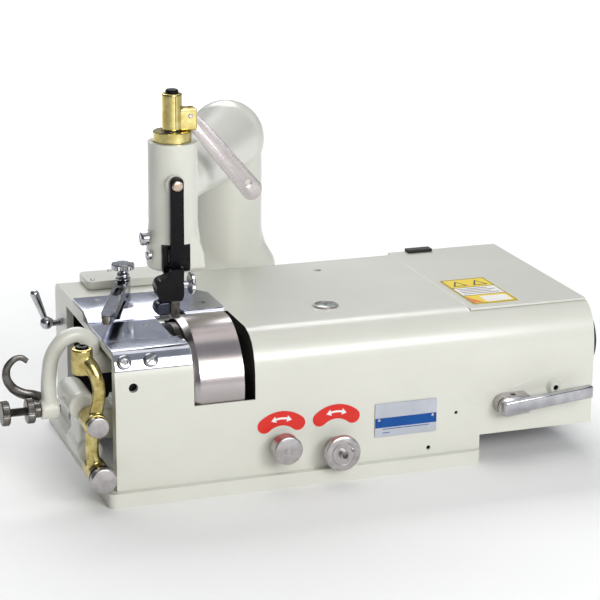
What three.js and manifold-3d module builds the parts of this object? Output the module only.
// Bell-knife leather skiving machine, in millimetres with +Z up.
// X runs along the casting from its open left end, Y runs back from its front face and Z
// rises from the underside of its foot. The finished model is then centred on its footprint.
import * as THREE from "three";
import { mergeVertices } from "three/addons/utils/BufferGeometryUtils.js";
import Module from "manifold-3d";

const wasm = await Module();
wasm.setup();

// Driving dimensions of the casting
const LENGTH = 541.6;
const DEPTH = 267;
const TOP = 168;
const FOOT = { left: -10.3, right: 406.7, front: -8, back: 278, height: 15.8, corner: 8 };
const OVERHANG_BOTTOM = 31.3;
const WALL = 12;
const DECK = 160; // lowered ledge under the throat plates
const LEDGE_BACK = 136;
const GAP = 0.3; // air between touching pieces
const SHEET = 2.7; // thickness of plates and lids

// Driving dimensions of the mechanism
const KNIFE = { y: 66.5, z: 111, radius: 64.5, wall: 4, left: 84, right: 139, hub: 12 };
const MOUTH = { left: 83.1, right: 149.3, sill: 99.6, clearance: 1.2 };
const ROLLER = { y: 66.5, z: 136, radius: 33.5, left: 77, right: 98 };
const GRINDER = { y: 150, z: 60, radius: 32, left: 76, right: 94 };
const HEAD = { x: 81, y: 66, radius: 25.5, bore: 11, bottom: 232, top: 365 };
const COLUMN = { x: 215.4, y: 311, radius: 42 };
const FLANGE = { half: 60, bottom: 62, flatten: 0.72 }; // the arm's foot, bolted behind the casting
const ELBOW = { x: 215.6, y: 311, z: 309.5, radius: 44.5 };
const BAR = { x: 76.3, pivotZ: 325.5 };
const PIVOT = { x: 98.4, z: 391.2 }; // pin of the lift lever
const LEVER_END = { x: 166.4, z: 308 };
const SCREW = { y: 60, z: 92 }; // axis of the gap screw
const SLEEVE = { x: -20, z: 90 };
const STOP = { x: -18, z: 36 };
const KNIFE_KNOB = { x: 178, z: 48, radius: 15.5 };
const GRINDER_KNOB = { x: 239, z: 37.5, radius: 19.5 };
const SIDE_LEVER = { x: 432, z: 66 };
const CLAMP = { y: 232, z: 131 };
const COVER_LEFT = 402.6;
const COVER_FRONT = 24.8;
const ROUND = 20; // sides of a turned piece
const FINE = 32; // sides of a large turned piece

// Finishes
const ENAMEL = [0xd9d8cd, 0.35, 0.0];
const STEEL = [0xb9bcc4, 0.2, 1.0];
const BRUSHED = [0x9a9698, 0.35, 1.0];
const BRASS = [0xc2a552, 0.28, 1.0];
const BLACK = [0x1b1b1d, 0.45, 0.3];
const DARK_STEEL = [0x6a6a6c, 0.4, 0.9];
const RED = [0xe8382e, 0.5, 0.0];
const YELLOW = [0xe9c72c, 0.5, 0.0];
const SILVER = [0xb8bcc2, 0.4, 0.8];
const GRIT = [0xb8a89a, 0.9, 0.0];
const GLASS = [0x8f9488, 0.15, 0.0];

const machine = new THREE.Group();

// ---- shape helpers -------------------------------------------------------------------

function block([x0, x1], [y0, y1], [z0, z1]) {
  const box = new THREE.BoxGeometry(x1 - x0, y1 - y0, z1 - z0);
  return box.translate((x0 + x1) / 2, (y0 + y1) / 2, (z0 + z1) / 2);
}

// Turns a geometry built along +Y so that it runs along the named axis.
function aim(geometry, axis) {
  if (axis === "X") return geometry.rotateZ(-Math.PI / 2);
  if (axis === "Z") return geometry.rotateX(Math.PI / 2);
  return geometry;
}

// A solid of revolution: pairs of [distance along the axis, radius], low to high outside.
function turned(profile, axis, [x, y, z], sides = ROUND) {
  const points = profile.map(([along, radius]) => new THREE.Vector2(radius, along));
  return aim(new THREE.LatheGeometry(points, sides), axis).translate(x, y, z);
}

function rod(axis, radius, [from, to], centre, sides = ROUND) {
  const profile = [[from, 0], [from, radius], [to, radius], [to, 0]];
  return turned(profile, axis, centre, sides);
}

function ring(axis, [inner, outer], [from, to], centre, sides = ROUND) {
  const profile = [[from, inner], [from, outer], [to, outer], [to, inner], [from, inner]];
  return turned(profile, axis, centre, sides);
}

// A tapered round bar between two points.
function limb(start, end, startRadius, endRadius, sides = ROUND) {
  const a = new THREE.Vector3(...start);
  const b = new THREE.Vector3(...end);
  const along = b.clone().sub(a);
  const bar = new THREE.CylinderGeometry(endRadius, startRadius, along.length(), sides);
  const up = new THREE.Vector3(0, 1, 0);
  bar.applyQuaternion(new THREE.Quaternion().setFromUnitVectors(up, along.normalize()));
  return bar.translate((a.x + b.x) / 2, (a.y + b.y) / 2, (a.z + b.z) / 2);
}

function outline(points) {
  return new THREE.Shape(points.map(([u, v]) => new THREE.Vector2(u, v)));
}

// Extrudes an outline along an axis: (y, z) along X, (x, z) along Y or (x, y) along Z.
function prism(shape, axis, [from, to], curveSegments = 8) {
  const face = Array.isArray(shape) ? outline(shape) : shape;
  const solid = new THREE.ExtrudeGeometry(face, {
    depth: to - from,
    bevelEnabled: false,
    curveSegments,
  });
  const turn = new THREE.Matrix4();
  if (axis === "X") {
    const basis = [new THREE.Vector3(0, 1, 0), new THREE.Vector3(0, 0, 1), new THREE.Vector3(1, 0, 0)];
    return solid.applyMatrix4(turn.makeBasis(...basis)).translate(from, 0, 0);
  }
  if (axis === "Y") {
    const basis = [new THREE.Vector3(1, 0, 0), new THREE.Vector3(0, 0, 1), new THREE.Vector3(0, -1, 0)];
    return solid.applyMatrix4(turn.makeBasis(...basis)).translate(0, to, 0);
  }
  return solid.translate(0, 0, from);
}

// A round bar bent along a smooth curve through the points.
function bent(points, radius, steps) {
  const path = new THREE.CatmullRomCurve3(points.map((p) => new THREE.Vector3(...p)));
  const section = new THREE.Shape().absarc(0, 0, radius, 0, 2 * Math.PI, false);
  return new THREE.ExtrudeGeometry(section, { steps, extrudePath: path, curveSegments: 5 });
}

// An outline with two round ends of different radius, as a flat lever has.
function leverOutline([x0, z0], r0, [x1, z1], r1) {
  const slope = Math.atan2(z1 - z0, x1 - x0);
  const quarter = Math.PI / 2;
  const shape = new THREE.Shape();
  shape.absarc(x1, z1, r1, slope - quarter, slope + quarter, false);
  shape.absarc(x0, z0, r0, slope + quarter, slope + 3 * quarter, false);
  return shape;
}

function roundedRectangle([x0, x1], [y0, y1], r) {
  const quarter = Math.PI / 2;
  const shape = new THREE.Shape();
  shape.absarc(x1 - r, y0 + r, r, -quarter, 0, false);
  shape.absarc(x1 - r, y1 - r, r, 0, quarter, false);
  shape.absarc(x0 + r, y1 - r, r, quarter, 2 * quarter, false);
  shape.absarc(x0 + r, y0 + r, r, 2 * quarter, 3 * quarter, false);
  return shape;
}

// ---- joining and cutting -------------------------------------------------------------

function solid(geometry) {
  const bare = geometry.clone();
  bare.deleteAttribute("normal");
  bare.deleteAttribute("uv");
  const merged = mergeVertices(bare, 1e-4);
  return new wasm.Manifold(
    new wasm.Mesh({
      numProp: 3,
      vertProperties: new Float32Array(merged.attributes.position.array),
      triVerts: new Uint32Array(merged.index.array),
    }),
  );
}

function geometryOf(manifold) {
  const mesh = manifold.getMesh();
  const geometry = new THREE.BufferGeometry();
  geometry.setAttribute("position", new THREE.BufferAttribute(mesh.vertProperties, 3));
  geometry.setIndex(new THREE.BufferAttribute(mesh.triVerts, 1));
  const faceted = geometry.toNonIndexed();
  faceted.computeVertexNormals();
  return faceted;
}

// Joins the first list of shapes and cuts the second list out of it.
function casting(joined, cut = []) {
  let body = joined.map(solid).reduce((whole, next) => whole.add(next));
  for (const hole of cut) body = body.subtract(solid(hole));
  return geometryOf(body);
}

function piece(name, geometry, [color, roughness, metalness], parent = machine) {
  const material = new THREE.MeshStandardMaterial({ color, roughness, metalness });
  const mesh = new THREE.Mesh(geometry, material);
  mesh.name = name;
  parent.add(mesh);
  return mesh;
}

// ---- casting, lids and plates --------------------------------------------------------

const FRONT_CURVE = 112; // height where the front face starts to roll back
const ROLL_DEPTH = 40; // how far back the roll reaches the top

function bodySection() {
  const section = new THREE.Shape();
  section.moveTo(0, 5);
  section.lineTo(DEPTH, 5);
  section.lineTo(DEPTH, TOP - 14);
  section.quadraticCurveTo(DEPTH, TOP, DEPTH - 14, TOP);
  section.lineTo(ROLL_DEPTH, TOP);
  section.bezierCurveTo(12, TOP, 0, 150, 0, FRONT_CURVE);
  return section;
}

// The hollow follows the rolled shoulder with a sloping ceiling.
function hollow(x, floor, ceiling) {
  const back = DEPTH - WALL;
  const section = [[WALL, floor], [back, floor], [back, ceiling], [44, ceiling], [WALL, FRONT_CURVE]];
  return prism(section, "X", x);
}

function buildCasting() {
  const foot = roundedRectangle([FOOT.left, FOOT.right], [FOOT.front, FOOT.back], FOOT.corner);
  const knifeAxis = [0, KNIFE.y, KNIFE.z];
  const swing = KNIFE.radius + MOUTH.clearance;
  const far = 60;
  const shape = casting(
    [prism(foot, "Z", [0, FOOT.height], 4), prism(bodySection(), "X", [0, LENGTH], 7)],
    [
      block([FOOT.right, LENGTH + 10], [-far, DEPTH + far], [-10, OVERHANG_BOTTOM]),
      hollow([8, 152], -1, 154),
      hollow([164, 398], -1, 154),
      hollow([410, 534], 42, TOP + 10),
      block([COVER_LEFT - GAP, LENGTH + 1], [COVER_FRONT - GAP, DEPTH + 1], [TOP - SHEET - GAP, TOP + 9]),
      block([-20, 10], [14, 214], [22, 154]),
      block([-1, 104], [-1, LEDGE_BACK], [DECK, TOP + 9]),
      block([75, 90], [32, 102], [100, TOP + 9]),
      block([54, 90], [34, 102], [100, 155]),
      rod("X", swing, [MOUTH.left - 1.5, 150], knifeAxis, FINE),
      block([MOUTH.left, MOUTH.right], [-far, KNIFE.y], [MOUTH.sill, TOP + 9]),
      rod("X", 22, [140, LENGTH + 1], knifeAxis),
      rod("X", 6.3, [150, 166], [0, GRINDER.y, GRINDER.z], 20),
      rod("Y", 5, [-1, WALL + 1], [19, 0, 126], 16),
      rod("Y", 2, [-1, 8], [378, 0, 60], 12),
      rod("Y", 2.5, [-1, 8], [346.5, 0, 23.5], 12),
      rod("Z", 4.5, [150, TOP + 1], [297, 220, 0], 16),
    ],
  );
  piece("main_housing", shape, ENAMEL);
}

function buildLids() {
  const lid = block([COVER_LEFT, LENGTH], [COVER_FRONT, DEPTH], [TOP - SHEET, TOP]);
  piece("belt_cover", lid, ENAMEL);
  const bumper = roundedRectangle([424, 455], [254, 266], 1);
  piece("cover_bumper", prism(bumper, "Z", [TOP + GAP, TOP + 4], 3), BLACK);
  const gearLid = roundedRectangle([26, 125], [218, 262], 6);
  piece("rear_gear_cover", prism(gearLid, "Z", [TOP + GAP, TOP + 10], 3), ENAMEL);
  const window = [[GAP, 0], [GAP, 14], [1.4, 14], [2, 12], [1.4, 10.5], [1.4, 0]];
  piece("oil_window", turned(window, "Z", [257, 84, TOP]), GLASS);
}

// The seam between the left and right throat plates runs at a slant.
const seamX = (y) => 82 + (186 - y) * 0.25;

function buildThroatPlates() {
  const plateTop = TOP + GAP + SHEET;
  const right = [
    [seamX(184) + 0.4, 184],
    [seamX(104) + 0.4, 104],
    [148, 104],
    [148, 163],
    [136, 179],
    [127, 188],
  ];
  const screwHoles = [rod("Z", 4.2, [TOP, TOP + 9], [130, 127, 0], 16)];
  piece("right_throat_plate", casting([prism(right, "Z", [TOP + GAP, plateTop])], screwHoles), STEEL);

  const slope = [
    [185, TOP + GAP],
    [185, plateTop],
    [134, plateTop],
    [122, 166.6],
    [114.5, 164.4],
    [114.5, 161.6],
    [123, 163.8],
    [135, TOP + GAP],
  ];
  const beyondSeam = [[seamX(190) - 0.4, 190], [seamX(100) - 0.4, 100], [150, 100], [150, 190]];
  const leftHole = rod("Z", 4.2, [TOP, TOP + 9], [24, 167, 0], 16);
  const left = casting([prism(slope, "X", [1, 110])], [prism(beyondSeam, "Z", [150, 180]), leftHole]);
  piece("left_throat_plate", left, STEEL);

  const low = roundedRectangle([1, 73.5], [46.2, 114], 1);
  const screwSeat = rod("Z", 4.2, [DECK, TOP], [57.6, 91, 0], 16);
  piece("low_throat_plate", casting([prism(low, "Z", [DECK + GAP, DECK + 3])], [screwSeat]), STEEL);

  const frontSection = [
    [43.4, DECK + 0.4],
    [43.4, DECK + 3.4],
    [17, DECK + 3.4],
    [12.4, 162.2],
    [7.8, 157.6],
    [4.9, 153.2],
    [1.6, 146.2],
    [1.2, 144.2],
    [3.9, 144],
    [4.1, 145.8],
    [6.9, 152],
    [9.6, 156.2],
    [13.8, DECK + 0.4],
  ];
  piece("front_plate", prism(frontSection, "X", [0.5, 81.8]), STEEL);

  const lean = [0, -0.85, 0.527];
  const seat = [0, 4.6, 152.8];
  const screwPoint = (x, out) => [x, seat[1] + lean[1] * out, seat[2] + lean[2] * out];
  [10.6, 38.4].forEach((x, i) => {
    const head = limb(screwPoint(x, 0.9), screwPoint(x, 4.4), 7.6, 7.2, 20);
    piece(`front_plate_screw_${i + 1}`, head, STEEL);
  });
  piece("right_plate_screw", rod("Z", 3.9, [TOP + GAP, plateTop - 0.4], [130, 127, 0], 16), STEEL);
  piece("left_plate_screw", rod("Z", 3.9, [TOP + GAP, plateTop - 0.4], [24, 167, 0], 16), STEEL);
  piece("low_plate_screw", rod("Z", 3.9, [DECK + GAP, DECK + 2.8], [57.6, 91, 0], 16), STEEL);
}

// ---- knife, grinder and feed ---------------------------------------------------------

function buildKnife() {
  const axis = [0, KNIFE.y, KNIFE.z];
  const inner = KNIFE.radius - KNIFE.wall;
  const bell = [
    [KNIFE.left, inner + 0.7],
    [KNIFE.left, inner + 1.3],
    [KNIFE.left + 7, KNIFE.radius],
    [KNIFE.right, KNIFE.radius],
    [KNIFE.right, KNIFE.hub + GAP],
    [KNIFE.right - 8, KNIFE.hub + GAP],
    [KNIFE.right - 8, inner],
    [KNIFE.left + 7, inner],
    [KNIFE.left, inner + 0.7],
  ];
  piece("bell_knife", turned(bell, "X", axis, 48), BRUSHED);
  piece("knife_shaft", rod("X", KNIFE.hub, [KNIFE.right - 12, LENGTH + 22], axis), STEEL);
  piece("knife_quill", ring("X", [KNIFE.hub + GAP, 21.7], [141, LENGTH + 1.5], axis), DARK_STEEL);
  const pulleyLeft = LENGTH + 3.5;
  const pulley = [
    [pulleyLeft, KNIFE.hub + GAP],
    [pulleyLeft, 52],
    [pulleyLeft + 2.5, 35],
    [pulleyLeft + 6.5, 27],
    [pulleyLeft + 9.5, 27],
    [pulleyLeft + 13.5, 35],
    [pulleyLeft + 16, 35],
    [pulleyLeft + 16, KNIFE.hub + GAP],
    [pulleyLeft, KNIFE.hub + GAP],
  ];
  piece("drive_pulley", turned(pulley, "X", axis, FINE), BLACK);
}

function buildGrinder() {
  const axis = [0, GRINDER.y, GRINDER.z];
  piece("grinding_wheel", ring("X", [6.3, GRINDER.radius], [GRINDER.left, GRINDER.right], axis, FINE), GRIT);
  piece("grinder_shaft", rod("X", 6, [GRINDER.left - 8, 330], axis, 20), STEEL);
}

function buildFeed() {
  const axis = [0, ROLLER.y, ROLLER.z];
  const roller = ring("X", [6.6, ROLLER.radius], [ROLLER.left, ROLLER.right], axis, FINE);
  piece("feed_roller", roller, DARK_STEEL);
  piece("feed_shaft", rod("X", 6.3, [-24, ROLLER.right + 4], axis, 20), STEEL);

  const hoop = bent(
    [
      [-55, SCREW.y, 90],
      [-55, SCREW.y, 128],
      [-48, SCREW.y, 155],
      [-30, 61, 169],
      [-13, 64, 163],
      [-6, ROLLER.y, 144],
    ],
    8,
    16,
  );
  const bracket = casting(
    [hoop, rod("X", 12.5, [-21, 18], axis), rod("X", 10.5, [-65, -46], [0, SCREW.y, SCREW.z])],
    [rod("X", 6.7, [-30, 30], axis, 20), rod("X", 4.9, [-70, -40], [0, SCREW.y, SCREW.z], 20)],
  );
  piece("feed_bracket", bracket, ENAMEL);

  const screw = [
    [-106, 0], [-106, 12], [-105, 13], [-99, 13], [-98, 12], [-98, 4.5], [-44, 4.5], [-44, 0],
  ];
  piece("gap_screw", turned(screw, "X", [0, SCREW.y, SCREW.z]), DARK_STEEL);
  const nut = [
    [-80, 4.9], [-80, 12], [-79, 13], [-73, 13], [-72, 12], [-72, 8], [-65.4, 8], [-65.4, 4.9], [-80, 4.9],
  ];
  piece("gap_lock_nut", turned(nut, "X", [0, SCREW.y, SCREW.z]), DARK_STEEL);
}

// A hooked flat lever: a strip that narrows from its root to its curled tip.
function buildHook() {
  const spine = new THREE.CatmullRomCurve3(
    [[-54, 96], [-68, 102], [-82, 107], [-92, 116], [-96, 129], [-90.5, 141], [-80.5, 145], [-73.5, 140.5]].map(
      ([x, z]) => new THREE.Vector3(x, z, 0),
    ),
  );
  const steps = 14;
  const sides = [[], []];
  for (let i = 0; i <= steps; i++) {
    const t = i / steps;
    const at = spine.getPoint(t);
    const along = spine.getTangent(t);
    const half = 6.5 - 3.5 * t;
    sides[0].push([at.x - along.y * half, at.y + along.x * half]);
    sides[1].unshift([at.x + along.y * half, at.y - along.x * half]);
  }
  const strip = prism([...sides[0], ...sides[1]], "Y", [74, 80]);
  const eye = rod("Y", 8, [74, 80], [-54, 0, 97], 20);
  piece("hook_lever", casting([strip, eye], [rod("Y", 3.3, [60, 90], [-54, 0, 97], 16)]), DARK_STEEL);
  piece("hook_pin", rod("Y", 3, [70.8, 82], [-54, 0, 97], 16), STEEL);
}

// The cast case behind the brass lever carries the feed drive and bolts inside the front wall.
function buildGearCase() {
  const shape = casting([
    rod("Y", 15, [32.5, 92], [-26, 0, 100]),
    rod("Y", 14, [30.5, 84], [-20, 0, 50]),
    block([-30, -14], [36, 78], [50, 100]),
    block([-26, 34], [44, 78], [58, 92]),
    block([12, 34], [WALL + GAP, 78], [50, 98]),
  ]);
  piece("gear_case", shape, ENAMEL);
}

function buildBrassLever() {
  const upper = bent([[-27, 18, 158], [-21, 9, 146], [-16, 5, 126], [-18, 7, 106], [-20, 10, 96]], 7, 10);
  const lower = bent([[-21, 10, 84], [-23, 9, 70], [-23, 9, 54], [-20, 9, 42]], 6.5, 6);
  const shape = casting(
    [
      rod("Z", 11, [141, 168], [-29, 20, 0]),
      upper,
      rod("Y", 12.5, [-2, 30], [SLEEVE.x, 0, SLEEVE.z]),
      lower,
      rod("Y", 12, [-4, 28], [STOP.x, 0, STOP.z]),
    ],
    [rod("Y", 4.3, [-10, 10], [STOP.x, 0, STOP.z], 16)],
  );
  piece("brass_lever", shape, BRASS);
  const button = [[-8.5, 0], [-8.5, 10.2], [-7.6, 11], [-2.3, 11], [-2.3, 0]];
  piece("sleeve_button", turned(button, "Y", [SLEEVE.x, 0, SLEEVE.z]), STEEL);
  const knob = [
    [-19, 0], [-19, 12.7], [-18, 13.5], [-11, 13.5], [-10, 12.5], [-10, 10.5], [-4.4, 10.5], [-4.4, 4],
    [6, 4], [6, 0],
  ];
  piece("stop_knob", turned(knob, "Y", [STOP.x, 0, STOP.z]), STEEL);
}

function buildClampLever() {
  const centre = [-18.5, CLAMP.y, CLAMP.z];
  const shape = casting([
    new THREE.SphereGeometry(7.3, 16, 12).translate(...centre),
    limb(centre, [-GAP, CLAMP.y, CLAMP.z], 4.5, 4.5, 16),
    limb(centre, [-30.5, CLAMP.y + 2, CLAMP.z + 35], 3, 5.2, 16),
  ]);
  piece("clamp_lever", shape, DARK_STEEL);
}

// ---- presser head --------------------------------------------------------------------

function buildArm() {
  const flangeProfile = [
    [FLANGE.bottom, 0], [FLANGE.bottom, FLANGE.half - 3], [FLANGE.bottom + 3, FLANGE.half], [152, FLANGE.half],
    [163, 58], [172, 53], [184, 47], [198, 43.5], [215, 42], [215, 0],
  ];
  const flange = turned(flangeProfile, "Z", [0, 0, 0], FINE);
  flange.scale(1, FLANGE.flatten, 1).translate(COLUMN.x, COLUMN.y, 0);
  const neckZ = 320;
  const cheek = prism([[100, 272], [104, 262], [109, 250], [110.5, HEAD.bottom], [92, HEAD.bottom]], "Y", [44, 84]);
  const shape = casting(
    [
      flange,
      rod("Z", COLUMN.radius, [150, 300], [COLUMN.x, COLUMN.y, 0], FINE),
      new THREE.SphereGeometry(ELBOW.radius, 24, 16).translate(ELBOW.x, ELBOW.y, ELBOW.z),
      limb([HEAD.x, HEAD.y, neckZ], [ELBOW.x, ELBOW.y, ELBOW.z], 25, 42, 24),
      rod("Z", HEAD.radius, [250, HEAD.top], [HEAD.x, HEAD.y, 0]),
      turned([[HEAD.bottom, 0], [HEAD.bottom, 28], [262, 28], [276, 25.5], [276, 0]], "Z", [HEAD.x, HEAD.y, 0]),
      cheek,
      rod("Y", 12.4, [38.2, 60], [BAR.x, 0, BAR.pivotZ], 20),
    ],
    [
      rod("Z", HEAD.bore, [200, 400], [HEAD.x, HEAD.y, 0]),
      block([62.4, 91.8], [30, 60], [200, 262]),
      block([100, 330], [200, DEPTH + GAP], [0, 215]),
    ],
  );
  piece("presser_arm", shape, ENAMEL);
  const guide = casting(
    [block([62.8, 91.4], [40.5, 47], [HEAD.bottom + 1, 261.6])],
    [block([68.6, 84.2], [30, 60], [200, 257])],
  );
  piece("bar_guide", guide, BLACK);
  const headScrew = [[44, 0], [44, 6.2], [45, 7.2], [49, 7.2], [49, 3], [52, 3], [52, 0]];
  piece("head_screw", turned(headScrew, "X", [0, 60, 266], 20), STEEL);
}

function buildPresserBar() {
  const axis = [HEAD.x, HEAD.y, 0];
  piece("pressure_collar", ring("Z", [HEAD.bore + GAP, 20], [HEAD.top + GAP, 375.8], axis), BRASS);
  piece("presser_rod", rod("Z", HEAD.bore - GAP, [234, 375.8], axis), STEEL);
  const post = casting(
    [rod("Z", 10.5, [376.1, 414.4], axis), block([HEAD.x, 105.6], [58, 74], [376.1, 399])],
    [
      block([91.2, 120], [63.6, 68.4], [370, 410]),
      rod("Z", 7, [370, 420], axis),
      rod("Y", 2.8, [50, 80], [PIVOT.x, 0, PIVOT.z], 16),
    ],
  );
  piece("presser_post", post, BRASS);
  piece("post_cap", rod("Z", 6.7, [376.4, 418.7], axis), BLACK);

  const slope = Math.atan2(LEVER_END.z - PIVOT.z, LEVER_END.x - PIVOT.x);
  const along = (u, v) => [
    PIVOT.x + u * Math.cos(slope) - v * Math.sin(slope),
    PIVOT.z + u * Math.sin(slope) + v * Math.cos(slope),
  ];
  const blade = [along(10, 6.6), along(17, 8.4), along(90, 10), along(90, -10), along(17, -8.4), along(13, -7.4), along(6, -6.5)];
  const lever = leverOutline([PIVOT.x, PIVOT.z], 6.6, [LEVER_END.x, LEVER_END.z], 11);
  const leverShape = casting(
    [prism(lever, "Y", [64, 68], 10), prism(blade, "Y", [64, 68])],
    [
      rod("Y", 2.8, [50, 80], [PIVOT.x, 0, PIVOT.z], 16),
      rod("Y", 3.4, [50, 80], [162.1, 0, 316], 16),
    ],
  );
  piece("lift_lever", leverShape, STEEL);
  piece("lever_pin", rod("Y", 2.5, [57.2, 74.8], [PIVOT.x, 0, PIVOT.z], 16), STEEL);
}

function buildFoot() {
  const bar = new THREE.Shape();
  bar.moveTo(BAR.x - 7, 240.4);
  bar.lineTo(BAR.x + 7, 240.4);
  bar.absarc(BAR.x, BAR.pivotZ + 2, 7, 0, Math.PI, false);
  const shape = casting([prism(bar, "Y", [32.5, 37.5], 6)], [rod("Y", 3.3, [30, 40], [BAR.x, 0, BAR.pivotZ], 16)]);
  piece("foot_bar", shape, BLACK);
  const screw = [[29.6, 0], [29.6, 5], [30.2, 5.6], [32.2, 5.6], [32.2, 3], [37, 3], [37, 0]];
  piece("bar_screw", turned(screw, "Y", [BAR.x, 0, BAR.pivotZ], 20), BRASS);

  const holderFace = new THREE.Shape();
  holderFace.moveTo(80, 240);
  holderFace.lineTo(67.5, 240);
  holderFace.quadraticCurveTo(65, 234, 58, 232);
  holderFace.quadraticCurveTo(50, 227, 51, 216);
  holderFace.lineTo(55.5, 207);
  holderFace.lineTo(78, 207);
  holderFace.lineTo(80, 212);
  const holder = casting([
    prism(holderFace, "Y", [23, 40.2], 5),
    block([70.5, 79], [38, 54.8], [234, 240]),
  ]);
  piece("foot_holder", holder, BLACK);
  const thumb = [[80.3, 0], [80.3, 3], [87.4, 3], [87.4, 10.8], [88, 11.5], [91, 11.5], [91.6, 10.8], [91.6, 0]];
  piece("thumb_screw", turned(thumb, "X", [0, 29.5, 223]), STEEL);
  piece("foot_shank", block([66, 75.8], [25, 39], [188.4, 206.6]), DARK_STEEL);
  const sole = new THREE.Shape();
  sole.moveTo(65.7, 206.6);
  sole.lineTo(56, 206.6);
  sole.quadraticCurveTo(50, 205.5, 49.5, 199);
  sole.quadraticCurveTo(50.5, 192.4, 58, 192);
  sole.lineTo(65.7, 192);
  piece("foot_sole", prism(sole, "Y", [24, 40], 6), DARK_STEEL);
}

// The edge guide lies at a slant over the plates and is clamped through its slot.
function buildEdgeGuide() {
  const clampAt = [60, 194];
  const reach = 138;
  const halfWidth = 7.5;
  const heading = Math.atan2(64 - clampAt[1], 7 - clampAt[0]);
  const bar = new THREE.Shape();
  bar.moveTo(-12, -halfWidth);
  bar.lineTo(reach - 16, -halfWidth);
  bar.lineTo(reach, -halfWidth + 3);
  bar.lineTo(reach, halfWidth - 3);
  bar.lineTo(reach - 16, halfWidth);
  bar.lineTo(-12, halfWidth);
  const slot = roundedRectangle([-7, 62], [-3.6, 3.6], 3);
  const floor = 174.6;
  const arm = casting([prism(bar, "Z", [floor, floor + 10])], [prism(slot, "Z", [floor - 5, floor + 20], 3)]);
  const turn = new THREE.Group();
  turn.position.set(clampAt[0], clampAt[1], 0);
  turn.rotation.z = heading;
  machine.add(turn);
  piece("guide_arm", arm, STEEL, turn);
  piece("guide_block", rod("Z", 8, [TOP + GAP, floor - GAP], [...clampAt, 0]), STEEL);
  piece("guide_washer", ring("Z", [3.5, 8.5], [floor + 10.3, floor + 12.3], [...clampAt, 0]), STEEL);
  const knob = [
    [floor, 0], [floor, 3.2], [floor + 12.6, 3.2], [floor + 12.6, 7], [floor + 17, 7], [floor + 20, 5.5],
    [floor + 22, 6], [floor + 22, 11.6], [floor + 23, 12.6], [floor + 28, 12.6], [floor + 29, 11.6],
    [floor + 29, 0],
  ];
  piece("guide_knob", turned(knob, "Z", [...clampAt, 0]), STEEL);
}

// ---- knobs, labels and side lever ----------------------------------------------------

function buildFrontControls() {
  const knifeKnob = [
    [-25, 0], [-25, 14.3], [-23.8, KNIFE_KNOB.radius], [-11, KNIFE_KNOB.radius], [-10, 14.5], [-10, 10],
    [-GAP, 10], [-GAP, 0],
  ];
  piece("knife_knob", turned(knifeKnob, "Y", [KNIFE_KNOB.x, 0, KNIFE_KNOB.z]), STEEL);
  const at = [GRINDER_KNOB.x, 0, GRINDER_KNOB.z];
  piece("grinder_knob_collar", rod("Y", 11.5, [-13, -GAP], at), STEEL);
  const disc = [
    [-31, 0], [-31, 3.4], [-28.5, 4.6], [-25, 4.6], [-25, 17.4], [-24, GRINDER_KNOB.radius],
    [-18, GRINDER_KNOB.radius], [-17, 17.4], [-17, 14], [-13.3, 14], [-13.3, 0],
  ];
  const pin = rod("Y", 1.8, [-29, -24], [GRINDER_KNOB.x + 11, 0, GRINDER_KNOB.z + 3], 12);
  piece("grinder_knob", casting([turned(disc, "Y", at), pin]), STEEL);

  const { x, z } = SIDE_LEVER;
  const hub = new THREE.Shape();
  hub.absarc(x, z, 11, Math.PI / 2, Math.PI * 1.5, false);
  hub.lineTo(x + 26, z - 9);
  hub.lineTo(x + 26, z + 11);
  piece("side_lever_hub", prism(hub, "Y", [-18, -GAP], 8), SILVER);
  const bar = [[x - 8, z - 5.5], [x - 8, z + 8], [528.8, 82.6], [528.8, 69.6]];
  piece("side_lever", prism(bar, "Y", [-27, -18.3]), STEEL);
}

function buildLabels() {
  const face = [-GAP - 0.5, -GAP];
  const plate = roundedRectangle([283.2, 354.6], [42.2, 79.9], 2);
  piece("nameplate", prism(plate, "Y", [-1.5, -GAP], 3), SILVER);
  [KNIFE_KNOB, GRINDER_KNOB].forEach((knob, i) => {
    const [inner, outer] = [20, 36];
    const [start, end] = [Math.PI * 0.2, Math.PI * 0.8];
    const band = new THREE.Shape();
    const lift = i === 0 ? 0 : 11.5;
    band.absarc(knob.x, knob.z + lift, outer, start, end, false);
    band.absarc(knob.x, knob.z + lift, inner, end, start, true);
    piece(`arrow_label_${i + 1}`, prism(band, "Y", face, 8), RED);
  });
  const warning = roundedRectangle([412, 466], [38, 133], 2);
  piece("warning_label", prism(warning, "Z", [TOP + GAP, TOP + 0.8], 2), YELLOW);
}

buildCasting();
buildLids();
buildThroatPlates();
buildKnife();
buildGrinder();
buildFeed();
buildHook();
buildGearCase();
buildBrassLever();
buildClampLever();
buildArm();
buildPresserBar();
buildFoot();
buildEdgeGuide();
buildFrontControls();
buildLabels();

// Stand the machine on the origin, centred on its footprint.
const extent = new THREE.Box3().setFromObject(machine);
const middle = extent.getCenter(new THREE.Vector3());
machine.position.set(-middle.x, -middle.y, -extent.min.z);

export default machine;
